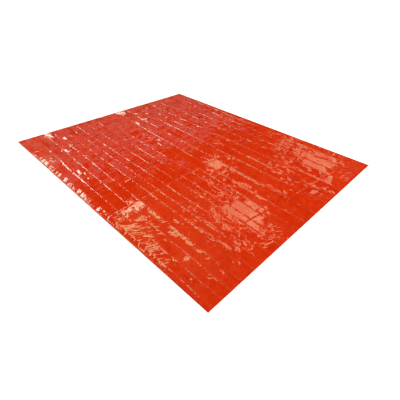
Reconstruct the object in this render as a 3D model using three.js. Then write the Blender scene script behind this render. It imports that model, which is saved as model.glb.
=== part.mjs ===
// Emergency sleeping bag of thin orange-red plastic film, opened out of its packet and laid flat.
// Two equal films lie one on the other. Three welds join them, along both sides and across the foot,
// and the mouth is open. The tight folds of the packet stay in both films as low ridges: long creases
// run from foot to mouth, cross creases from side to side, with flat facets between them.
// Millimetres. X runs from the foot to the mouth, Y from the near side to the far side, Z up.
// The origin is under the middle of the bag, on the ground.

import * as THREE from "three";

// Driving dimensions
const bagLength = 2130;
const bagWidth = 1760;
const filmThickness = 1;
const airGap = 0.3;
const weldWidth = 10;
const creaseHalfWidth = 10;

// How much of a ridge is left where a long crease runs out at the mouth.
const mouthShare = 0.3;

// Half-sizes of the whole bag, and the extent of the films inside their welds.
const halfLength = bagLength / 2;
const halfWidth = bagWidth / 2;
const filmFoot = -halfLength + weldWidth + airGap;
const filmMouth = halfLength;
const filmSide = halfWidth - weldWidth - airGap;

// Each long crease is given by its y at two stations along the bag and by the height of its ridge
// towards the foot, in the middle and towards the mouth.
const station = { foot: -330, mouth: 700 };
const longCreases = [
  { foot: -829, mouth: -845, heights: [1.2, 1.8, 2.0] },
  { foot: -774, mouth: -785, heights: [1.6, 3.6, 2.2] },
  { foot: -685, mouth: -716, heights: [2.6, 2.8, 2.0] },
  { foot: -610, mouth: -642, heights: [3.2, 2.4, 3.0] },
  { foot: -525, mouth: -543, heights: [2.4, 3.0, 2.8] },
  { foot: -460, mouth: -481, heights: [1.6, 2.6, 2.8] },
  { foot: -396, mouth: -403, heights: [2.2, 2.8, 1.8] },
  { foot: -311, mouth: -320, heights: [1.8, 3.0, 2.0] },
  { foot: -230, mouth: -264, heights: [1.6, 3.2, 1.8] },
  { foot: -149, mouth: -183, heights: [2.0, 2.8, 2.4] },
  { foot: -58, mouth: -120, heights: [1.2, 1.6, 1.8] },
  { foot: 15, mouth: -41, heights: [2.8, 3.0, 2.6] },
  { foot: 118, mouth: 73, heights: [3.0, 2.6, 3.2] },
  { foot: 239, mouth: 206, heights: [2.2, 3.0, 2.8] },
  { foot: 326, mouth: 305, heights: [1.6, 2.8, 2.8] },
  { foot: 418, mouth: 411, heights: [2.2, 2.4, 1.8] },
  { foot: 533, mouth: 528, heights: [1.8, 3.0, 2.0] },
  { foot: 638, mouth: 613, heights: [1.6, 3.4, 1.8] },
  { foot: 745, mouth: 712, heights: [2.0, 3.2, 2.4] },
  { foot: 829, mouth: 797, heights: [1.2, 1.6, 1.6] },
];

// Each cross crease is given by its x at the near and at the far side. A sharp one is a ridge of its
// own. A soft one has no height, and the long creases only rise or sink to their pinch there.
const crossCreases = [
  { near: -805, far: -790, height: 0, pinch: 0.7 },
  { near: -480, far: -470, height: 0, pinch: 1.1 },
  { near: -225, far: -215, height: 0, pinch: 1.15 },
  { near: 5, far: -30, height: 1.8, pinch: 0.6 },
  { near: 238, far: 200, height: 1.6, pinch: 0.7 },
  { near: 590, far: 620, height: 0, pinch: 1.1 },
  { near: 815, far: 962, height: 1.2, pinch: 0.8 },
];

// Puckers of the near weld, where the hot bar drew the film in: how far apart they stand, how high
// the film lifts at a full one, the share that the weakest keeps, and how fast strong and weak ones
// take turns along the weld.
const pucker = { pitch: 45, height: 1.1, weakest: 0.2, turn: 1.9 };

const colour = { front: 0xd12f0b, back: 0xc42c0a, weld: 0xc9340f };
const gloss = { roughness: 0.22, metalness: 0 };

const mix = (a, b, t) => a + (b - a) * t;

// Height of a long crease's ridge at x: its three heights stand at the foot, the middle and the mouth.
function ridgeHeight([atFoot, atMiddle, atMouth], x) {
  const t = x / halfLength;
  return t < 0 ? mix(atMiddle, atFoot, -t) : mix(atMiddle, atMouth, t);
}

// Lines of the crease lattice that run from foot to mouth. A crease takes three: one crest and the
// two flanks where its ridge meets the facets.
function longLines() {
  const edge = (y) => ({ yAt: () => y, heightAt: () => 0 });
  const lines = longCreases.flatMap(({ foot, mouth, heights }) =>
    [-1, 0, 1].map((flank) => ({
      yAt: (x) => {
        const t = (x - station.foot) / (station.mouth - station.foot);
        return mix(foot, mouth, t) + flank * creaseHalfWidth;
      },
      heightAt: (x) => (flank ? 0 : ridgeHeight(heights, x)),
    })),
  );
  return [edge(-filmSide), ...lines, edge(filmSide)];
}

// Lines of the lattice that run from side to side. A sharp crease takes three and a soft one takes
// one. The share is how much of each long crease's height stands on that line.
function crossLines() {
  const edge = (x, share) => ({ xAt: () => x, height: 0, share });
  const lines = crossCreases.flatMap(({ near, far, height, pinch }) =>
    (height ? [-1, 0, 1] : [0]).map((flank) => ({
      xAt: (y) => mix(near, far, (y + halfWidth) / bagWidth) + flank * creaseHalfWidth,
      height: flank ? 0 : height,
      share: flank ? 1 : pinch,
    })),
  );
  return [edge(filmFoot, 0), ...lines, edge(filmMouth, mouthShare)];
}

// The crease lattice as columns of [x, y, height] points. Every point off a ridge has height 0.
function creaseLattice() {
  const rows = longLines();
  return crossLines().map(({ xAt, height, share }) =>
    rows.map(({ yAt, heightAt }, row) => {
      const x = xAt(yAt(0));
      const onEdge = row === 0 || row === rows.length - 1;
      const crossHeight = onEdge ? 0 : height;
      return [x, yAt(x), Math.max(heightAt(x) * share, crossHeight)];
    }),
  );
}

// A film as one closed solid over columns of [x, y, z] points, from `bottom` to `top` above them.
function filmSolid(columns, bottom, top) {
  const last = columns.length - 1;
  const lastRow = columns[0].length - 1;
  const positions = [bottom, top].flatMap((lift) =>
    columns.flatMap((column) => column.flatMap(([x, y, z]) => [x, y, z + lift])),
  );
  const under = (column, row) => column * (lastRow + 1) + row;
  const over = (column, row) => under(last + 1, 0) + under(column, row);
  const faces = [];
  const quad = (a, b, c, d) => faces.push(a, b, c, a, c, d);

  for (let i = 0; i < last; i++) {
    for (let j = 0; j < lastRow; j++) {
      quad(over(i, j), over(i + 1, j), over(i + 1, j + 1), over(i, j + 1));
      quad(under(i, j), under(i, j + 1), under(i + 1, j + 1), under(i + 1, j));
    }
  }
  for (let i = 0; i < last; i++) {
    quad(under(i, 0), under(i + 1, 0), over(i + 1, 0), over(i, 0));
    quad(under(i + 1, lastRow), under(i, lastRow), over(i, lastRow), over(i + 1, lastRow));
  }
  for (let j = 0; j < lastRow; j++) {
    quad(under(0, j + 1), under(0, j), over(0, j), over(0, j + 1));
    quad(under(last, j), under(last, j + 1), over(last, j + 1), over(last, j));
  }

  const geometry = new THREE.BufferGeometry();
  geometry.setAttribute("position", new THREE.Float32BufferAttribute(positions, 3));
  geometry.setIndex(faces);
  geometry.computeVertexNormals();
  return geometry;
}

function piece(name, geometry, color) {
  const material = new THREE.MeshStandardMaterial({ ...gloss, color, flatShading: true });
  const mesh = new THREE.Mesh(geometry, material);
  mesh.name = name;
  return mesh;
}

// Back film, on the ground between its ridges, and front film on top of it. Both have the same
// creases, because they were folded together, so they nest with the air gap between them.
function panels() {
  const lattice = creaseLattice();
  const frontLift = filmThickness + airGap;
  return [
    piece("back_panel", filmSolid(lattice, 0, filmThickness), colour.back),
    piece("front_panel", filmSolid(lattice, frontLift, frontLift + filmThickness), colour.front),
  ];
}

// A weld is both films fused into one flat band as thick as the two.
function weld(name, columns) {
  return piece(name, filmSolid(columns, 0, 2 * filmThickness), colour.weld);
}

// Height of the near weld at its n-th station: it lies flat at the even ones and lifts at the odd.
function puckerAt(n) {
  const strength = (1 + Math.sin(n * pucker.turn)) / 2;
  return n % 2 ? pucker.height * mix(pucker.weakest, 1, strength) : 0;
}

// A side weld runs the whole length of the bag, from the outer edge in. `side` is -1 for the near
// side and 1 for the far one, and `steps` says into how many stretches it is divided.
function sideWeld(name, side, steps, heightAt) {
  const middle = side * (halfWidth - weldWidth / 2);
  const columns = Array.from({ length: steps + 1 }, (_, n) => {
    const x = mix(-halfLength, halfLength, n / steps);
    return [-1, 1].map((edge) => [x, middle + (edge * weldWidth) / 2, heightAt(n)]);
  });
  return weld(name, columns);
}

// The foot weld closes the end between the two side welds.
function footWeld() {
  const columns = [-halfLength, -halfLength + weldWidth].map((x) =>
    [-filmSide, filmSide].map((y) => [x, y, 0]),
  );
  return weld("foot_weld", columns);
}

const puckerSteps = 2 * Math.round(bagLength / (2 * pucker.pitch));
const bag = new THREE.Group();
bag.add(
  ...panels(),
  sideWeld("near_side_weld", -1, puckerSteps, puckerAt),
  sideWeld("far_side_weld", 1, 1, () => 0),
  footWeld(),
);

export default bag;
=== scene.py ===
"""An emergency sleeping bag of thin orange-red plastic film, opened out of its packet and laid flat.

Metres, in the part's own frame: X from the foot to the open mouth, Y from the near side to the far
side, Z up from the ground. Sizes that are read off the bag are written in millimetres times MM.
"""

import math

import bpy
import numpy as np
from mathutils import Matrix, Vector

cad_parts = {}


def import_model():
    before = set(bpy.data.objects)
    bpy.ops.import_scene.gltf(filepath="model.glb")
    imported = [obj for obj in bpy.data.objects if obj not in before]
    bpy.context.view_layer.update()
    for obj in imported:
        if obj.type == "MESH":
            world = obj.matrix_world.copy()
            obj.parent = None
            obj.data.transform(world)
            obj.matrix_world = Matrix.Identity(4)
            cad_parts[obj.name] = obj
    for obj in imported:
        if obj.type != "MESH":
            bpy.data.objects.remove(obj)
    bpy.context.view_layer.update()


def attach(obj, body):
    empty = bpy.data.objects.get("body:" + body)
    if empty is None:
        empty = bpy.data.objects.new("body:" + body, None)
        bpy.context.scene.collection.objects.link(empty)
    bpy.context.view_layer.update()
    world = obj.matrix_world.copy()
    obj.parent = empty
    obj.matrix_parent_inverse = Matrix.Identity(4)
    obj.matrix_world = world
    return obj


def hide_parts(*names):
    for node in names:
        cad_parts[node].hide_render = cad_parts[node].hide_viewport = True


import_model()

# ---------------------------------------------------------------------------------------------
# Camera. A standing person's view over the corner between the mouth and the near side, with the
# head tipped a little to one side.
# ---------------------------------------------------------------------------------------------
camera_place = Vector((1.5305, -1.4353, 1.1656))
camera_aim = Vector((0.4920, -0.3531, 0.0025))
camera_roll = math.radians(1.694)

camera_data = bpy.data.cameras.new("camera")
camera_data.lens = 27.27
camera_data.sensor_width = 36
camera_data.clip_end = 200
camera = bpy.data.objects.new("camera", camera_data)
bpy.context.collection.objects.link(camera)
camera.rotation_mode = "QUATERNION"
camera.location = camera_place
look = (camera_aim - camera_place).to_track_quat("-Z", "Y").to_matrix()
camera.rotation_quaternion = (look @ Matrix.Rotation(camera_roll, 3, "Z")).to_quaternion()
bpy.context.scene.camera = camera

# ---------------------------------------------------------------------------------------------
# Back film. One rectangle of polyethylene film, folded tight in its packet together with the front
# film, so that the creases are pressed into it. It lies on the ground between its ridges.
# ---------------------------------------------------------------------------------------------
MM = 0.001
bag_length = 2130 * MM
bag_width = 1760 * MM
weld_width = 10 * MM
half_length = bag_length / 2
half_width = bag_width / 2

# Each long crease: y at two stations along the bag, and the height of its ridge towards the foot,
# in the middle and towards the mouth.
station_foot, station_mouth = -330 * MM, 700 * MM
long_creases = np.array(
    [
        (-829, -845, 0.1, 0.1, 0.7),
        (-774, -785, 0.3, 0.8, 1.1),
        (-685, -716, 2.6, 2.1, 1.5),
        (-610, -642, 3.2, 2.4, 3.0),
        (-525, -543, 2.4, 3.0, 2.8),
        (-460, -481, 1.6, 2.6, 2.8),
        (-396, -403, 2.2, 2.8, 1.8),
        (-311, -320, 1.8, 3.0, 2.0),
        (-230, -264, 1.6, 3.2, 1.8),
        (-149, -183, 2.0, 2.8, 2.4),
        (-58, -120, 1.2, 1.6, 1.8),
        (15, -41, 2.8, 3.0, 2.6),
        (118, 73, 3.0, 2.6, 3.2),
        (239, 206, 2.2, 3.0, 2.8),
        (326, 305, 1.6, 2.8, 2.8),
        (418, 411, 2.2, 2.4, 1.8),
        (533, 528, 1.8, 3.0, 2.0),
        (638, 613, 1.6, 3.4, 1.8),
        (745, 712, 2.0, 3.2, 2.4),
        (829, 797, 1.2, 1.6, 1.6),
    ]
) * MM

# Each cross crease: x at the near and at the far side, the height of its ridge, and in the last
# column the share to which it pinches the long creases that it meets.
cross_creases = np.array(
    [
        (-805, -790, 0.4, 0.7),
        (-480, -470, 0.4, 1.1),
        (-225, -215, 0.4, 1.15),
        (5, -30, 1.2, 0.6),
        (238, 200, 1.1, 0.7),
        (590, 620, 1.0, 1.1),
        (755, 962, 0.9, 0.8),
    ]
)
cross_creases[:, :3] *= MM


def noise_1d(x, pitch, seed):
    """Smooth unevenness from -1 to 1 along a line: random values every `pitch`, eased between."""
    count = 1024
    values = np.random.default_rng(seed).uniform(-1, 1, count)
    u = x / pitch + count / 2
    i = np.floor(u).astype(int) % (count - 1)
    t = u - np.floor(u)
    t = t * t * (3 - 2 * t)
    return values[i] * (1 - t) + values[i + 1] * t


def noise_2d(x, y, pitch, seed):
    """Smooth unevenness from -1 to 1 over the sheet: random values on a square grid of `pitch`,
    eased between."""
    count = 512
    values = np.random.default_rng(seed).uniform(-1, 1, (count, count))
    u, v = x / pitch + count / 2, y / pitch + count / 2
    i, j = np.floor(u).astype(int) % (count - 1), np.floor(v).astype(int) % (count - 1)
    s, t = u - np.floor(u), v - np.floor(v)
    s, t = s * s * (3 - 2 * s), t * t * (3 - 2 * t)
    low = values[i, j] * (1 - s) + values[i + 1, j] * s
    high = values[i, j + 1] * (1 - s) + values[i + 1, j + 1] * s
    return low * (1 - t) + high * t


def past(x, start, width):
    """0 well before `start` and 1 well past it: 1 / (1 + exp((start - x) / width))."""
    return 1 / (1 + np.exp((start - x) / width))


def before(x, stop, width):
    """1 well before `stop` and 0 well past it."""
    return past(-x, -stop, width)


def around(x, centre, reach, power=6):
    """1 near `centre` and 0 past `reach` on both sides: exp(-(((x - centre) / reach) ** power))."""
    return np.exp(-(((x - centre) / reach) ** power))


def crease_line(k, x):
    """y of long crease k at x: a straight line through its two stations, wandering a little. The
    second one swings 14 mm inward over the last half metre to the foot."""
    t = (x - station_foot) / (station_mouth - station_foot)
    foot, mouth = long_creases[k, :2]
    swing = 14 * MM * before(x, -500 * MM, 50 * MM) if k == 1 else 0
    return foot + (mouth - foot) * t + swing + 1.6 * MM * noise_1d(x, 110 * MM, 40 + k)


def cross_crease_x(crease, y):
    """x of a cross crease at y: a straight line from its place at the near side to the far side."""
    return crease[0] + (crease[1] - crease[0]) * (y + half_width) / bag_width


def strip_place(x, y):
    """Where a point lies in the strips between the long creases: the number of the strip from the
    near side, plus the share of the way across it."""
    place = np.zeros_like(x)
    low = np.full_like(x, -half_width)
    for k in range(len(long_creases) + 1):
        last = k == len(long_creases)
        high = np.full_like(x, half_width) if last else crease_line(k, x)
        place += np.clip((y - low) / (high - low), 0, 1)
        low = high
    return place


usual_strip_width = 88 * MM


def facets(x, strip, along, rows, skew, seed):
    """Crumpled facets from -1 to 1: random heights on a skewed grid of triangles, with flat faces
    and sharp edges between. Cells are `along` long, with `rows` of them in each strip between two
    creases, and are warped by up to a third of a cell everywhere but on the creases."""
    warp, bend, count = 0.35, 2.3 * along, 512
    across = strip * usual_strip_width
    share = strip - np.floor(strip)
    fold = 4 * share * (1 - share)
    u = x / along + skew * strip * rows + warp * noise_2d(x, across, bend, seed + 1) + count / 2
    v = strip * rows + warp * fold * noise_2d(x, across, bend, seed + 2)
    heights = np.random.default_rng(seed).uniform(-1, 1, (count, count))
    i, j = np.floor(u).astype(int) % (count - 1), np.floor(v).astype(int) % (count - 1)
    s, t = u - np.floor(u), v - np.floor(v)
    h00, h10 = heights[i, j], heights[i + 1, j]
    h01, h11 = heights[i, j + 1], heights[i + 1, j + 1]
    lower = h00 + s * (h10 - h00) + t * (h01 - h00)
    upper = h11 + (1 - s) * (h01 - h11) + (1 - t) * (h10 - h11)
    return np.where(s + t < 1, lower, upper)


# The section through a long crease, as shares of its height at distances from the crest: a sharp
# fold that flattens out in a few straight bands.
fold_distances = np.array([0, 1.2, 3, 6, 12, 20]) * MM
fold_shares = np.array([1, 0.70, 0.42, 0.20, 0.06, 0])
cross_flank = 6 * MM


def crease_ridges(x, y):
    """Height of the creases at (x, y), and the distance to the nearest long crease. A long crease
    has its height from the table, pinched at the cross creases, and swells and fades along its
    length, down to 0.4 of that at the foot. A cross crease is a low ridge with straight flanks."""
    pinch = np.ones_like(x)
    for near, far, _, share in cross_creases:
        pinch += (share - 1) * around(x, cross_crease_x((near, far), y), 70 * MM, 2)
    height = np.zeros_like(x)
    nearest = np.full_like(x, bag_width)
    foot_fade = 1 - 0.6 * np.exp(-(x + half_length) / (220 * MM))
    t = x / half_length
    for k, (_, _, foot_tall, middle_tall, mouth_tall) in enumerate(long_creases):
        distance = np.abs(y - crease_line(k, x))
        end_tall = np.where(t < 0, foot_tall, mouth_tall)
        tall = middle_tall + (end_tall - middle_tall) * np.abs(t)
        swell = 0.48 + 0.75 * noise_1d(x, 20 * MM, 70 + k) + 0.55 * noise_1d(x, 90 * MM, 110 + k)
        swell = np.clip(swell, 0.08, 1.5) * foot_fade
        height += tall * pinch * swell * np.interp(distance, fold_distances, fold_shares)
        nearest = np.minimum(nearest, distance)
    for k, (near, far, tall, _) in enumerate(cross_creases):
        wander = 4 * MM * noise_1d(y, 80 * MM, 150 + k)
        distance = np.abs(x - cross_crease_x((near, far), y) - wander)
        swell = np.clip(0.8 + 0.6 * noise_1d(y, 60 * MM, 170 + k), 0.1, 1.4)
        height += tall * swell * np.clip(1 - distance / cross_flank, 0, 1)
    return height, nearest


# How far the films reach under the welds.
under_weld = 0.3 * weld_width


def lattice(offsets, between, columns, grade):
    """Points of a grid that follows the creases: lines from foot to mouth stand at `offsets` from
    each long crease, with more in the space to the next, from between[0] at the near side to
    between[1] at the far one. The columns' spacing changes by `grade` from foot to mouth."""
    steps = grade ** (np.arange(columns - 1) / (columns - 1))
    share = np.concatenate([[0], np.cumsum(steps)]) / steps.sum()
    foot = weld_width - under_weld - half_length
    x = foot + (half_length - foot) * share
    side = half_width - weld_width + under_weld
    count = len(long_creases)
    creases = [crease_line(k, x) for k in range(count)]
    runs = [np.full_like(x, -side), *creases, np.full_like(x, side)]
    lines = [runs[0]]
    for k in range(count + 1):
        low = runs[k] + (offsets[-1] if k else 0)
        high = runs[k + 1] - (offsets[-1] if k < count else 0)
        lines_here = round(between[0] + (between[1] - between[0]) * k / count)
        for part in np.linspace(0, 1, lines_here + 2)[1:-1]:
            lines.append(low + (high - low) * part)
        if k < count:
            lines += [runs[k + 1] + offset for offset in offsets]
    lines.append(runs[-1])
    y = np.clip(np.stack(lines, axis=1), -side, side)
    return np.repeat(x[:, None], y.shape[1], axis=1), y


def grid_mesh(name, x, y, z, marks, flip=False, sharp=30):
    """A mesh of one quad for each cell of the grid, facing up, or down with `flip`. `marks` become
    its attributes, with a value for each point. Edges that bend more than `sharp` degrees are left
    sharp."""
    columns, rows = x.shape
    index = np.arange(columns * rows).reshape(columns, rows)
    quads = np.stack([index[:-1, :-1], index[1:, :-1], index[1:, 1:], index[:-1, 1:]], axis=-1)
    quads = quads.reshape(-1, 4)
    if flip:
        quads = quads[:, ::-1]
    mesh = bpy.data.meshes.new(name)
    mesh.vertices.add(columns * rows)
    mesh.vertices.foreach_set("co", np.stack([x, y, z], axis=-1).astype(np.float32).ravel())
    mesh.loops.add(quads.size)
    mesh.loops.foreach_set("vertex_index", quads.astype(np.int32).ravel())
    mesh.polygons.add(len(quads))
    mesh.polygons.foreach_set("loop_start", np.arange(0, quads.size, 4, dtype=np.int32))
    mesh.update(calc_edges=True)
    mesh.shade_smooth()
    mesh.set_sharp_from_angle(angle=math.radians(sharp))
    for label, values in marks.items():
        layer = mesh.attributes.new(label, "FLOAT", "POINT")
        layer.data.foreach_set("value", np.asarray(values, np.float32).ravel())
    made = bpy.data.objects.new(name, mesh)
    bpy.context.collection.objects.link(made)
    return made


class Wire:
    """An output socket of a shader node. Sums with wires and numbers add Math nodes."""

    def __init__(self, tree, socket):
        self.tree, self.socket = tree, socket

    def node(self, kind, settings, inputs, output=0):
        """Adds a node of `kind`, with its settings first, then a value or a wire for each input."""
        made = self.tree.nodes.new(kind)
        for name, value in settings.items():
            setattr(made, name, value)
        for key, value in inputs.items():
            if isinstance(value, Wire):
                self.tree.links.new(value.socket, made.inputs[key])
            else:
                made.inputs[key].default_value = value
        return Wire(self.tree, made.outputs[output])

    def math(self, operation, *values):
        """A Math node on wires and numbers."""
        return self.node("ShaderNodeMath", {"operation": operation}, dict(enumerate(values)))

    def vector(self, operation, *values):
        """A Vector Math node on wires and constant vectors."""
        return self.node("ShaderNodeVectorMath", {"operation": operation}, dict(enumerate(values)))

    def scaled(self, factor):
        """This vector times `factor`."""
        inputs = {0: self, "Scale": factor}
        return self.node("ShaderNodeVectorMath", {"operation": "SCALE"}, inputs)

    def __add__(self, other):
        return self.math("ADD", self, other)

    def __sub__(self, other):
        return self.math("SUBTRACT", self, other)

    def __rsub__(self, other):
        return self.math("SUBTRACT", other, self)

    def __mul__(self, other):
        return self.math("MULTIPLY", self, other)

    __radd__ = __add__
    __rmul__ = __mul__

    def step(self, low, high):
        """0 below `low`, 1 above `high`, eased between."""
        settings = {"interpolation_type": "SMOOTHSTEP"}
        return self.node("ShaderNodeMapRange", settings, {"Value": self, 1: low, 2: high})


def film_material(name, colour, roughness):
    """Glossy dyed film: mottled and streaked a little in colour, partly its own uneven tone and
    partly painted shade and sheen of small wrinkles, and paler and duller where it is creased. Flat
    facets lie under the gloss, too fine for the mesh, and end at the creases, since the whole part
    of the mesh's attribute `strip` tells which strip a point is in. Each leans its own way, as far
    as
    other attributes say: large `panels`, `plates` where the film is crumpled and `ripples` across
    the bag. A share `broken` of smaller ones, slanted across the bag and the other way in the first
    strip, is knocked over to the slopes `lean_x` and `lean_y`."""
    material = bpy.data.materials.new(name)
    material.use_nodes = True
    tree = material.node_tree
    shader = tree.nodes["Principled BSDF"]
    start = Wire(tree, None)
    place = start.node("ShaderNodeTexCoord", {}, {}, "Object")

    def attribute(label):
        return start.node("ShaderNodeAttribute", {"attribute_name": label}, {}, "Fac")

    def noise(scale, detail, output=0):
        inputs = {"Vector": place, "Scale": scale, "Detail": detail, "Roughness": 0.5}
        return start.node("ShaderNodeTexNoise", {}, inputs, output)

    def mixed(factor, first, second):
        inputs = {"Factor": factor, 6: first, 7: second}
        return start.node("ShaderNodeMix", {"data_type": "RGBA"}, inputs, 2)

    # Each strip reads its cells from a place of its own, so that they end at the creases.
    strip = attribute("strip")
    strip = strip.math("FLOOR", strip)
    apart = strip.node("ShaderNodeCombineXYZ", {}, {"X": strip, "Y": strip, "Z": strip})
    in_strip = place.vector("ADD", place, apart.scaled(0.713))

    def cells_of(points, along, across, turn, seed, triangles=True):
        """A random colour for each cell of an uneven pattern of triangles, or of polygons with more
        sides, `along` by `across` in size and turned by `turn` radians. The triangles lie between
        three sets of lines: where the whole parts of the place along the first side, along the
        second and of their sum change. Noise bends the lines by up to a third of `across`."""
        bend = noise(0.45 / max(along, across), 1.0, 1)
        bend = bend.vector("SUBTRACT", bend, (0.5, 0.5, 0.5))
        shift = (0.6 * across, 0.6 * across, 0)
        bent = bend.vector("MULTIPLY_ADD", bend, shift, points)
        laid = bent.node(
            "ShaderNodeMapping",
            {"vector_type": "TEXTURE"},
            {"Vector": bent, 1: (seed, seed, 0), 2: (0, 0, turn), 3: (along, across, 1)},
        )
        if triangles:
            both = {0: laid, 1: (1, 1, 0)}
            both = laid.node("ShaderNodeVectorMath", {"operation": "DOT_PRODUCT"}, both, "Value")
            both = both.node("ShaderNodeCombineXYZ", {}, {"Z": both})
            whole = laid.vector("FLOOR", laid.vector("ADD", laid, both))
            return whole.node("ShaderNodeTexWhiteNoise", {}, {"Vector": whole}, "Color")
        settings = {"feature": "F1", "voronoi_dimensions": "2D"}
        return laid.node("ShaderNodeTexVoronoi", settings, {"Vector": laid, "Scale": 1.0}, "Color")

    def first_part(cells):
        """One random number from 0 to 1 for each cell."""
        return cells.node("ShaderNodeSeparateXYZ", {}, {"Vector": cells})

    # Colour and roughness. The mottle, fine grain and streaks mix a shaded and a lit copy of the
    # film's colour: partly its own uneven tone, partly painted shade and sheen of small wrinkles.
    crest = attribute("crest")
    mottle = noise(5.0, 4.0).step(0.35, 0.65)
    fine = noise(38.0, 2.0).step(0.3, 0.7)
    # Streaks of painted shade and sheen, as small wrinkles would give.
    wrinkle_shade = first_part(cells_of(in_strip, 16 * MM, 60 * MM, 0.06, 8, triangles=False))
    # A painted shaded copy and a painted lit copy of the film's colour.
    shaded_colour = (colour[0] * 0.92, colour[1] * 0.75, colour[2], 1)
    pale = (colour[0] * 1.07, colour[1] * 1.35, colour[2], 1)
    whitened = (0.95, 0.42, 0.28, 1)
    body = mixed(mottle * 0.3 + fine * 0.25 + wrinkle_shade * 0.45, shaded_colour, pale)
    body = mixed(crest * 0.04, body, whitened)
    dullness = roughness + fine * 0.02 + crest * 0.02
    tree.links.new(body.socket, shader.inputs["Base Color"])
    tree.links.new(dullness.socket, shader.inputs["Roughness"])

    # Facets that lean at random. Their cells are half as large again from strip 10 to the far side.
    far_half = strip.step(9.4, 9.6)
    in_cells = in_strip.scaled(1 - far_half * 0.35)

    def tipped(along, across, turn, amount, seed, triangles=True):
        """A lean for each such cell, up to half of `amount` each way."""
        cells = cells_of(in_cells, along, across, turn, seed, triangles)
        return cells.vector("SUBTRACT", cells, (0.5, 0.5, 0.5)).scaled(amount)

    plates = attribute("plates")
    normal = start.node("ShaderNodeNewGeometry", {}, {}, "Normal")
    for lean in (
        tipped(150 * MM, 75 * MM, 0.10, attribute("panels") * 0.085 + 0.004, 6),
        tipped(64 * MM, 46 * MM, 0.45, plates * 0.24 + 0.006, 1),
        tipped(33 * MM, 22 * MM, -0.5, plates * 0.14 + 0.012, 2),
        tipped(20 * MM, 70 * MM, 0.06, attribute("ripples") * 0.11, 3, triangles=False),
    ):
        normal = normal.vector("ADD", normal, lean)

    # Knocked-over faces, each leaning a little its own way around the slopes of the attributes.
    mirror = strip.step(0.4, 0.6) * 2 - 1
    mirror = strip.node("ShaderNodeCombineXYZ", {}, {"X": mirror, "Y": 1, "Z": 1})
    slanted = in_strip.vector("MULTIPLY", in_strip, mirror)
    faces = cells_of(slanted, 5 * MM, 30 * MM, -0.55, 5, triangles=False)
    over = (attribute("broken") - first_part(faces)).step(0.0, 0.04)
    scatter = 0.06
    lean_x = attribute("lean_x") - scatter / 2
    lean_y = attribute("lean_y") - scatter / 2
    slopes = {"X": lean_x, "Y": lean_y, "Z": 1 - scatter / 2}
    leaned = faces.node("ShaderNodeCombineXYZ", {}, slopes)
    leaned = faces.vector("MULTIPLY_ADD", faces, (scatter, scatter, scatter), leaned)
    choice = {"Factor": over, 4: normal, 5: leaned}
    normal = normal.node("ShaderNodeMix", {"data_type": "VECTOR"}, choice, 1)
    normal = normal.vector("NORMALIZE", normal)
    tree.links.new(normal.socket, shader.inputs["Normal"])
    shader.inputs["IOR"].default_value = 1.5
    shader.inputs["Specular IOR Level"].default_value = 1.0
    return material


def settle(x, y, width):
    """How far the film has risen from its welds: 0 on them, nearing 1 at a few widths inside."""
    inside = np.minimum(x + half_length, half_width - np.abs(y)) - weld_width
    return 1 - np.exp(-np.clip(inside, 0, None) / width)


back_lift = 0.3 * MM

# Where the lines of the front film's grid run beside each crest. The back film has every third one.
fold_offsets = np.array([-6, -3, -1.2, 0, 1.2, 3, 6]) * MM


def back_height(x, y):
    """Height of the back film: its lift and ridges of half the front film's height."""
    ridges, nearest = crease_ridges(x, y)
    return back_lift + 0.5 * ridges * settle(x, y, 12 * MM), nearest


back_x, back_y = lattice(fold_offsets[::3], between=(3, 3), columns=150, grade=1.0)
back_z, back_nearest = back_height(back_x, back_y)
crest_width = 4 * MM
back_crest = np.exp(-back_nearest / crest_width)
back_marks = {"crest": back_crest}
back_film = grid_mesh("back_film", back_x, back_y, back_z, back_marks, flip=True)
back_colour = (0.61, 0.026, 0.002)
back_film.data.materials.append(film_material("back_film", back_colour, roughness=0.16))
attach(back_film, "root")
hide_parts("back_panel")

# ---------------------------------------------------------------------------------------------
# Front film. The same rectangle of film, lying on the back film. It has the same creases, and over
# them the loose crumples that the upper film takes up as it is shaken out and smoothed by hand.
# ---------------------------------------------------------------------------------------------
front_lift = 2.3 * MM
weld_top = 1.2 * MM

# Zones where the film is crumpled: centre x and y, half-length and half-width, and strength.
crumple_zones = np.array(
    [
        (-860, -650, 260, 90, 0.25),
        (-1000, -360, 90, 60, 0.4),
        (-290, -725, 90, 40, 0.4),
        (650, -600, 280, 50, 0.5),
        (820, -440, 190, 30, 1.4),
        (530, -300, 110, 180, 1.6),
        (950, -520, 60, 120, 0.6),
        (780, -372, 150, 34, 1.4),
        (330, -150, 120, 70, 0.6),
        (620, -60, 250, 50, 0.6),
        (-860, 60, 260, 90, 0.5),
        (-1000, 330, 90, 60, 0.4),
        (600, 110, 320, 50, 0.5),
        (560, 330, 200, 70, 0.6),
        (790, 468, 170, 46, 1.3),
        (545, 580, 90, 170, 1.3),
        (620, 790, 280, 60, 1.1),
    ]
)

# Spots that a hand has smoothed flat, in the same columns.
smoothed_spots = np.array(
    [
        (765, -262, 145, 78, 0.94),
        (800, 600, 110, 110, 0.82),
        (775, 738, 110, 24, 0.85),
        (850, 378, 115, 46, 0.94),
        (118, 225, 85, 85, 0.92),
        (760, 800, 150, 50, 0.6),
        (285, -715, 75, 115, 0.97),
        (265, 35, 80, 100, 0.95),
        (110, -640, 150, 90, 0.95),
        (420, -820, 300, 50, 0.85),
        (-330, -835, 520, 62, 0.95),
        (-820, -820, 280, 60, 0.9),
        (1000, 640, 62, 250, 0.85),
    ]
)
crumple_zones[:, :4] *= MM
smoothed_spots[:, :4] *= MM


def highest_blob(x, y, rows, power=2):
    """The strongest of the rows' blobs at (x, y): each is full at its centre and fades to nothing
    past its outline, as exp(-distance ** (2 * power) / 2)."""
    most = np.zeros_like(x)
    for cx, cy, along, across, full in rows:
        distance = ((x - cx) / along) ** 2 + ((y - cy) / across) ** 2
        most = np.maximum(most, full * np.exp(-(distance**power) * 0.5))
    return most


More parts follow.
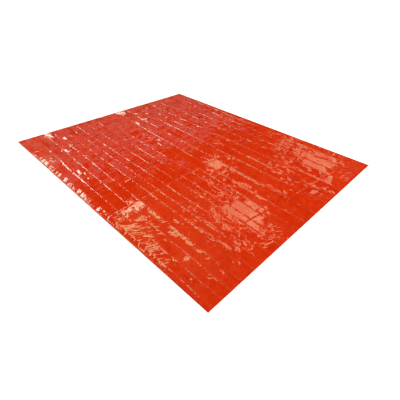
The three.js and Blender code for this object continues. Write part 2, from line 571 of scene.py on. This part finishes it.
def crumple_strength(x, y):
    """How crumpled the film is at (x, y): a little everywhere, twice that over the far half and
    close to the mouth, and more in the zones, broken up into patches."""
    patchy = 0.8 + 0.7 * noise_2d(x, y, 75 * MM, 290)
    far_half = np.clip(y / (200 * MM), 0, 1)
    mouth = np.clip((x - 900 * MM) / (60 * MM), 0, 1)
    strength = np.maximum(0.12 + 0.16 * (far_half + mouth), highest_blob(x, y, crumple_zones))
    return strength * np.clip(patchy, 0.4, 1.3)


# Bands of broken film on the near side of the creases towards the mouth: the usual width and share,
# and those of the creases that differ, counted from the near side.
usual_band = (7 * MM, 0.75)
bands = {
    0: (4 * MM, 0.1),
    1: (6 * MM, 0.25),
    2: (8 * MM, 0.5),
    3: (26 * MM, 1.1),
    4: (16 * MM, 0.55),
    5: (9 * MM, 0.9),
    12: (26 * MM, 1.0),
    13: (16 * MM, 0.55),
    14: (9 * MM, 0.9),
}

# Spots of broken film away from the creases: centre x and y, half-length, half-width and share.
broken_spots = np.array(
    [
        (-1028, -648, 34, 22, 0.45),
        (-1030, 70, 50, 36, 0.7),
        (-722, 42, 34, 18, 0.75),
        (-908, 165, 18, 9, 0.7),
        (-752, 145, 12, 26, 0.7),
        (-328, -18, 18, 12, 0.7),
        (-960, 425, 30, 6, 0.6),
        (-590, -805, 40, 14, 0.25),
        (1037, -836, 5, 26, 0.8),
        (786, -744, 15, 18, 0.8),
        (950, -736, 18, 11, 0.8),
        (600, -672, 38, 12, 0.7),
        (545, -590, 34, 9, 0.6),
    ]
)
broken_spots[:, :4] *= MM


def knocked_slope(y):
    """How steeply a knocked-over face leans to the near side: more towards the far side."""
    return 0.08 + 0.51 * (y + half_width)


def mouthward_slope(x):
    """How steeply a knocked-over face leans to the mouth: only near the foot."""
    return 0.06 * np.clip((-720 * MM - x) / (200 * MM), 0, 1)


# The creases that differ from the rest: the one by the near weld, the one next to it, which is
# folded over along its middle, and the one along the middle of the bag.
weld_crease, folded_crease, middle_crease = 0, 1, 10


def crease_bands(x, y):
    """Share broken in the bands on the near side of the creases: full over most of a band's width
    and falling off at both sides, in patches 40 mm across."""
    patches = 0.60 + 0.6 * noise_2d(x, y, 40 * MM, 341)
    share = np.zeros_like(x)
    for k in range(len(long_creases)):
        inward = crease_line(k, x) - y
        width, full = bands.get(k, usual_band)
        band = np.clip(1.5 - np.abs(inward - width / 2) / (width / 2) * 1.5, 0, 1)
        share = np.maximum(share, band * np.clip(patches * full, 0, 1))
    return share


def crease_dashes(x, y, towards_foot):
    """Share broken in the thin dashes just on the near side of the creases: random stretches
    towards the foot, more of them in the middle of the foot half, and most on the folded crease.
    The three nearest creases have some in the corner by the mouth too."""
    corner = np.clip((x - 800 * MM) / (50 * MM), 0, 1)
    share = np.zeros_like(x)
    for k in range(len(long_creases)):
        inward = crease_line(k, x) - y
        dashes = 1.7 * noise_1d(x, 34 * MM, 360 + k) + 0.8 * noise_1d(x, 130 * MM, 390 + k)
        dashes += 1.3 * around(x, -290 * MM, 340 * MM) - 1.0
        full, thickness, reach = 0.7, 1.3 * MM, towards_foot
        if k == weld_crease:
            dashes -= 3 * towards_foot
        elif k == folded_crease:
            dashes += 2.7 * around(x, -320 * MM, 260 * MM) - 0.8
            thickness = 1.3 * MM + 1.2 * MM * around(x, -250 * MM, 120 * MM, 4)
        elif k >= middle_crease:
            dashes += -0.8 if k == middle_crease else 0.5
            full, thickness = 0.85, 1.7 * MM
        if k < 3:
            reach = np.maximum(towards_foot, corner)
            dashes += 1.1 * corner
        middle = 2.4 * MM + 1.5 * MM * noise_1d(x, 24 * MM, 420 + k)
        thin = np.clip(2.0 - np.abs(inward - middle) / thickness, 0, 1)
        share = np.maximum(share, thin * np.clip(dashes, 0, full) * reach)
    return share


def cross_column(x, y):
    """Share broken in a narrow column of patches along the fifth cross crease, near its near end."""
    distance = np.abs(x - cross_crease_x(cross_creases[4], y)) / (5 * MM)
    patches = np.clip(0.25 + 0.5 * noise_1d(y, 30 * MM, 347), 0, 1)
    return np.clip(1.6 - distance, 0, 1) * patches * around(y, -660 * MM, 200 * MM)


# How densely the strokes along the near weld stand, at places from the foot to the mouth.
stroke_places = np.array([-740, -680, -380, -340, 160, 240]) * MM
stroke_density = np.array([-1, 0.1, 0.15, 0.5, 0.45, -1])


def edge_strokes(x, y):
    """Share broken in the strokes that slant in from the near weld: loose groups within 40 mm of
    it, and scattered strokes in two fields towards the mouth that reach further in."""
    inward = y + half_width
    groups = np.interp(x, stroke_places, stroke_density) + 0.35 * noise_1d(x, 45 * MM, 349)
    groups += 0.9 * noise_1d(x + 0.6 * inward, 12 * MM, 351)
    groups = np.clip(groups, 0, 0.8) * around(inward, 19 * MM, 22 * MM)
    fields = around(x, 490 * MM, 250 * MM, 8) * around(y, -825 * MM, 45 * MM)
    fields += 0.9 * around(x, 460 * MM, 110 * MM, 8) * around(y, -745 * MM, 50 * MM)
    scattered = np.clip(0.28 + 0.25 * noise_2d(x, y, 28 * MM, 345), 0, 0.45)
    return np.maximum(groups, fields * scattered)


def broken_film(x, y):
    """The share of the film that is knocked over into small faces, and the slopes they take along x
    and y. They lie in spots, in bands on the creases towards the mouth and in dashes on them
    towards the foot, in a column and in strokes. Those close to the mouth lean a little to the foot,
    and in two spots there, the glints, to the foot alone."""
    towards_mouth = past(x, 235 * MM, 15 * MM)
    share = highest_blob(x, y, broken_spots, 3)
    share = np.maximum(share, crease_bands(x, y) * towards_mouth)
    share = np.maximum(share, crease_dashes(x, y, 1 - towards_mouth))
    share = np.maximum(share, cross_column(x, y))
    share = np.maximum(share, edge_strokes(x, y))
    glints = around(x, 985 * MM, 75 * MM) * around(y, -310 * MM, 140 * MM)
    glints += around(x, 1020 * MM, 50 * MM) * around(y, 600 * MM, 140 * MM)
    footward = np.maximum(0.055 * glints, 0.05 * np.clip((x - 840 * MM) / (120 * MM), 0, 1))
    lean_x = mouthward_slope(x) - footward
    lean_y = -knocked_slope(y) * (1 - glints)
    return np.maximum(share, 0.24 * glints), lean_x, lean_y


# Shards: spots where a fold has been knocked over into small faces that lean like the broken film.
# Centre x and y, half-length, half-width and turn in degrees.
shards = np.array(
    [
        (-1010, -655, 55, 24, 12),
        (-975, -603, 55, 6, -5),
        (-668, -665, 36, 15, 30),
        (-870, -575, 20, 9, 10),
        (-715, -590, 10, 22, 15),
        (-310, -742, 30, 9, -12),
        (-265, -718, 16, 18, 30),
        (-490, -590, 14, 8, 10),
    ]
)
tooth_pitch = 26 * MM
long_face = 0.8


def shard_relief(x, y):
    """Height of the shards: saw teeth whose long faces, a share `long_face` of the pitch, have the
    broken film's slopes and whose backs are steep. They fade out just past each outline."""
    height = np.zeros_like(x)
    for cx, cy, long, wide, turn in shards:
        angle = math.radians(turn)
        dx, dy = x - cx * MM, y - cy * MM
        u = dx * math.cos(angle) + dy * math.sin(angle)
        v = dy * math.cos(angle) - dx * math.sin(angle)
        outline = np.maximum(np.abs(u) / (long * MM), np.abs(v) / (wide * MM))
        inside = np.clip((1.2 - outline) / 0.2, 0, 1)
        lean_x, lean_y = mouthward_slope(cx * MM), -knocked_slope(cy * MM)
        lean = math.hypot(lean_x, lean_y)
        phase = (dx * lean_x + dy * lean_y) / (lean * tooth_pitch) + long_face / 2
        part = phase - np.floor(phase)
        back = (part - long_face) * long_face / (1 - long_face)
        tooth = np.where(part < long_face, long_face - part, back)
        height += inside * tooth * lean * tooth_pitch
    return height


# The section through a pleat, as shares of its height at distances from the near edge.
pleat_distances = np.array([0, 10, 38, 50]) * MM
pleat_shares = np.array([0.0, 0.26, 1.0, 0.0])


def puckers(x, y):
    """Height of the puckers along the near weld: pleats in loose groups that climb on a slant from
    the edge and drop steeply 40 mm inside it. They start 365 mm from the foot, and are half as
    high towards the mouth."""
    inward = y + half_width
    groups = np.clip(0.08 + 1.1 * noise_1d(x, 55 * MM, 203), 0, 1)
    pleat = np.clip(0.25 + 1.4 * noise_1d(x + 0.6 * inward, 11 * MM, 201), 0, 1)
    where = (0.45 + 0.55 * before(x, -160 * MM, 50 * MM)) * past(x, -700 * MM, 30 * MM)
    return 0.8 * MM * groups * pleat * where * np.interp(inward, pleat_distances, pleat_shares)


def front_height(x, y):
    """Height of the front film over its own lift, and the marks on it that its material reads. Over
    the creases lie broad facets, higher in the foot half, medium ones where the film is crumpled
    and narrow waves across the bag, mostly in the middle of the foot half."""
    ridges, nearest = crease_ridges(x, y)
    strip = strip_place(x, y)
    rough = 1 - highest_blob(x, y, smoothed_spots, 3)
    strength = crumple_strength(x, y) * rough
    middle = around(x, -370 * MM, 330 * MM)
    foot_half = before(x, -140 * MM, 50 * MM)
    broad = facets(x, strip, 120 * MM, 1, 0.0, 301) * (1.3 + 1.7 * foot_half) * rough * MM
    medium = facets(x, strip, 50 * MM, 2, 0.5, 304) * 1.1 * strength * MM
    waves = facets(x, strip, 27 * MM, 1, 0.1, 321) * (0.10 + 0.55 * middle) * rough * MM
    height = (ridges + broad + medium + waves) * settle(x, y, 14 * MM) + shard_relief(x, y)
    broken, lean_x, lean_y = broken_film(x, y)
    return height, {
        "crest": np.exp(-nearest / crest_width),
        "strip": strip,
        "panels": rough * (0.7 + 0.55 * foot_half),
        "plates": strength,
        "ripples": (0.3 + 0.7 * middle) * rough,
        "broken": broken,
        "lean_x": lean_x,
        "lean_y": lean_y,
    }


front_x, front_y = lattice(fold_offsets, between=(8, 4), columns=360, grade=0.5)
front_rise, front_marks = front_height(front_x, front_y)
front_z = weld_top + (front_lift - weld_top) * settle(front_x, front_y, 110 * MM)
front_z += front_rise + puckers(front_x, front_y)
least_gap = 0.5 * MM
front_z = np.maximum(front_z, back_height(front_x, front_y)[0] + least_gap)
front_film = grid_mesh("front_film", front_x, front_y, front_z, front_marks, sharp=2.5)
front_colour = (0.71, 0.027, 0.002)
front_film.data.materials.append(film_material("front_film", front_colour, roughness=0.05))
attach(front_film, "root")
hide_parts("front_panel")

# ---------------------------------------------------------------------------------------------
# Welds. Along both sides and across the foot a hot bar has fused both films into one flat band
# with a bead of melt at its inner side. The near one has puckered a little.
# ---------------------------------------------------------------------------------------------
weld_underside = 0.1 * MM
weld_colour = (0.64, 0.026, 0.003)
weld_material = film_material("weld", weld_colour, roughness=0.12)

# The section of a weld: the share of its width from the inner side, and the height of its upper
# face. It is pressed level, with a bead of melt at the inner side.
weld_shares = np.array([0, 0, 0.12, 0.3, 0.6, 0.85, 1, 1])
weld_heights = np.array([0, 1.2, 1.26, 1.2, 1.2, 1.2, 1.16, 0]) * MM


weld_step = 2.5 * MM


def weld_band(name, node, ends, sides, along_x):
    """A closed band in place of the CAD's `node`: the weld's section, from the inner to the outer
    one of its `sides`, carried along X or Y between its `ends`, with both ends closed. Its upper
    face puckers where the film does."""
    (start, stop), (inner, outer) = ends, sides
    count = round((stop - start) / weld_step) + 1
    along = np.linspace(start, stop, count)
    across = inner + (outer - inner) * weld_shares
    run, reach = np.meshgrid(along, across, indexing="ij")
    x, y = (run, reach) if along_x else (reach, run)
    z = np.where(weld_heights > 0, weld_heights + puckers(x, y), weld_underside)
    corners = len(weld_shares)
    index = np.arange(count * corners).reshape(count, corners)
    ring = np.concatenate([index, index[:, :1]], axis=1)
    quads = [ring[:-1, :-1], ring[1:, :-1], ring[1:, 1:], ring[:-1, 1:]]
    faces = np.stack(quads, axis=-1).reshape(-1, 4).tolist()
    faces += [index[0].tolist(), index[-1, ::-1].tolist()]
    if (outer > inner) != along_x:
        faces = [face[::-1] for face in faces]
    mesh = bpy.data.meshes.new(name)
    mesh.from_pydata(np.stack([x, y, z], axis=-1).reshape(-1, 3).tolist(), [], faces)
    mesh.shade_smooth()
    mesh.set_sharp_from_angle(angle=math.radians(20))
    band = bpy.data.objects.new(name, mesh)
    bpy.context.collection.objects.link(band)
    band.data.materials.append(weld_material)
    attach(band, "root")
    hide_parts(node)
    return band


side_inside = half_width - weld_width
foot_inside = half_length - weld_width
long_run = (-half_length, half_length)
cross_run = (-side_inside, side_inside)
near_sides = (-side_inside, -half_width)
far_sides = (side_inside, half_width)
foot_sides = (-foot_inside, -half_length)
near_weld = weld_band("near_weld", "near_side_weld", long_run, near_sides, along_x=True)
far_weld = weld_band("far_weld", "far_side_weld", long_run, far_sides, along_x=True)
foot_weld = weld_band("foot_weld_band", "foot_weld", cross_run, foot_sides, along_x=False)

# ---------------------------------------------------------------------------------------------
# Floor and light. A plain white floor in a dim room. A long strip light hangs over the foot end,
# cool white at first and warmer towards the mouth. Beyond the far side are two rows of windows, two
# small lamps and a dim stretch of ceiling, and beyond the foot pale bands on the wall. Four fill
# lamps light the film without being mirrored in it.
# ---------------------------------------------------------------------------------------------
half_floor = 30
floor_drop = 0.5 * MM
floor_mesh = bpy.data.meshes.new("floor")
floor_corners = [(-1, -1), (1, -1), (1, 1), (-1, 1)]
floor_points = [(half_floor * x, half_floor * y, 0) for x, y in floor_corners]
floor_mesh.from_pydata(floor_points, [], [(0, 1, 2, 3)])
floor = bpy.data.objects.new("floor", floor_mesh)
floor.location.z = -floor_drop
bpy.context.collection.objects.link(floor)
floor_material = bpy.data.materials.new("floor")
floor_material.use_nodes = True
floor_tree = floor_material.node_tree
floor_shader = floor_tree.nodes["Principled BSDF"]
floor_shader.inputs["Base Color"].default_value = (0.8, 0.8, 0.8, 1)
floor_shader.inputs["Roughness"].default_value = 1.0
floor_shader.inputs["Specular IOR Level"].default_value = 0.0
floor_shader.inputs["Emission Color"].default_value = (1, 1, 1, 1)

# The camera, mirrors and clear things see the floor white, and a little dimmer around the bag, where
# the lamps light it.
rays = Wire(floor_tree, None)
seen = rays.node("ShaderNodeLightPath", {}, {}, "Is Camera Ray")
glossy = rays.node("ShaderNodeLightPath", {}, {}, "Is Glossy Ray")
through = rays.node("ShaderNodeLightPath", {}, {}, "Is Transmission Ray")
ground = rays.node("ShaderNodeTexCoord", {}, {}, "Object")
away = rays.node("ShaderNodeVectorMath", {"operation": "LENGTH"}, {0: ground}, "Value")
glow = 0.5 + 0.5 * away.step(1.2, 3.0)
lift = seen.math("MAXIMUM", seen.math("MAXIMUM", seen, glossy), through) * glow
floor_tree.links.new(lift.socket, floor_shader.inputs["Emission Strength"])
floor_mesh.materials.append(floor_material)


def panel(name, place, target, size, radiance, colour=(1, 1, 1)):
    """A light panel at `place` that faces `target`. Its power follows from its size and how bright
    its face is."""
    data = bpy.data.lights.new(name, "AREA")
    data.shape = "RECTANGLE"
    data.size, data.size_y = size
    data.color = colour
    data.energy = radiance * math.pi * size[0] * size[1]
    lamp = bpy.data.objects.new(name, data)
    lamp.location = place
    lamp.rotation_mode = "QUATERNION"
    lamp.rotation_quaternion = (Vector(target) - Vector(place)).to_track_quat("-Z", "Y")
    lamp.visible_camera = False
    bpy.context.collection.objects.link(lamp)
    return lamp


ceiling_height = 2.3


def ceiling_panel(name, x, y, size, radiance, colour):
    """A light panel that hangs level at the ceiling and faces down, its sides along X and Y."""
    return panel(name, (x, y, ceiling_height), (x, y, 0), size, radiance, colour)


cream = (0.60, 1.0, 0.80)
pale_yellow = (0.72, 0.88, 0.56)
warm = (0.68, 0.89, 0.46)
amber = (0.90, 0.84, 0.49)
brown = (1.0, 0.62, 0.24)
ceiling_panel("key", -3.7, -0.20, (2.8, 0.6), 7.0, cream)
ceiling_panel("warm_strip", -1.35, -0.20, (1.9, 0.6), 3.4, warm)

# Each row of windows: its y and width, and for each pane its x, its length and how bright it is.
windows = {
    "near": (1.95, 0.74, [(-1.38, 0.44, 1.25), (-0.93, 0.42, 1.65), (-0.52, 0.38, 2.25)]),
    "far": (4.766, 1.31, [(-1.435, 0.46, 0.93), (-0.90, 0.56, 1.22), (-0.466, 0.26, 1.67)]),
}
for row, (y, width, panes) in windows.items():
    for number, (x, length, radiance) in enumerate(panes):
        ceiling_panel(f"window_{row}_{number}", x, y, (length, width), radiance, amber)
ceiling_panel("small_near", -2.23, 0.761, (0.17, 0.479), 5.6, pale_yellow)
ceiling_panel("small_far", -2.233, 2.96, (0.24, 0.44), 2.1, amber)
fills = [
    panel("fill", (1.0, -1.15, 2.3), (0.45, -0.3, 0), (1.3, 1.3), 3.9),
    panel("fill_foot", (-1.2, -1.6, 2.3), (-0.7, 0.2, 0), (1.0, 1.0), 6.6),
    panel("fill_back", (0.8, 3.4, 2.6), (-0.7, 0.5, 0), (1.0, 1.0), 11.0),
    panel("fill_far", (1.9, 1.6, 3.0), (0.4, 0.3, 0), (1.8, 1.8), 6.7),
]
for lamp in fills:
    lamp.visible_glossy = False
panel("dim_ceiling", (-1.25, 1.0, 2.35), (-1.25, 1.0, 0), (2.1, 1.3), 0.16, brown)

# The bands on the wall: the height of the middle, the width and how bright it is.
wall_bands = [(1.25, 2.5, 0.05), (2.72, 0.44, 0.33), (3.52, 0.46, 0.38), (4.42, 0.56, 0.30)]
for number, (z, width, radiance) in enumerate(wall_bands):
    panel(f"wall_{number}", (-7, 5, z), (0, 5, z), (14, width), radiance)

# The room is dim with warm patches, which the film mirrors. The camera sees plain white instead.
world = bpy.data.worlds.new("room")
world.use_nodes = True
room_tree = world.node_tree
room = Wire(room_tree, None)
backdrop = room.node("ShaderNodeLightPath", {}, {}, "Is Camera Ray")
direction = room.node("ShaderNodeTexCoord", {}, {}, "Generated")
clouds = {"Vector": direction, "Scale": 14.0, "Detail": 2.0, "Roughness": 0.5}
patches = room.node("ShaderNodeTexNoise", {}, clouds).step(0.52, 0.62)
tints = {"Factor": backdrop, 6: (1.0, 0.58, 0.24, 1), 7: (1, 1, 1, 1)}
tint = room.node("ShaderNodeMix", {"data_type": "RGBA"}, tints, 2)
bright = backdrop.math("MAXIMUM", backdrop, 0.02 + 0.27 * patches)
room_tree.links.new(tint.socket, room_tree.nodes["Background"].inputs["Color"])
room_tree.links.new(bright.socket, room_tree.nodes["Background"].inputs["Strength"])
bpy.context.scene.world = world
bpy.context.scene.view_settings.view_transform = "Standard"
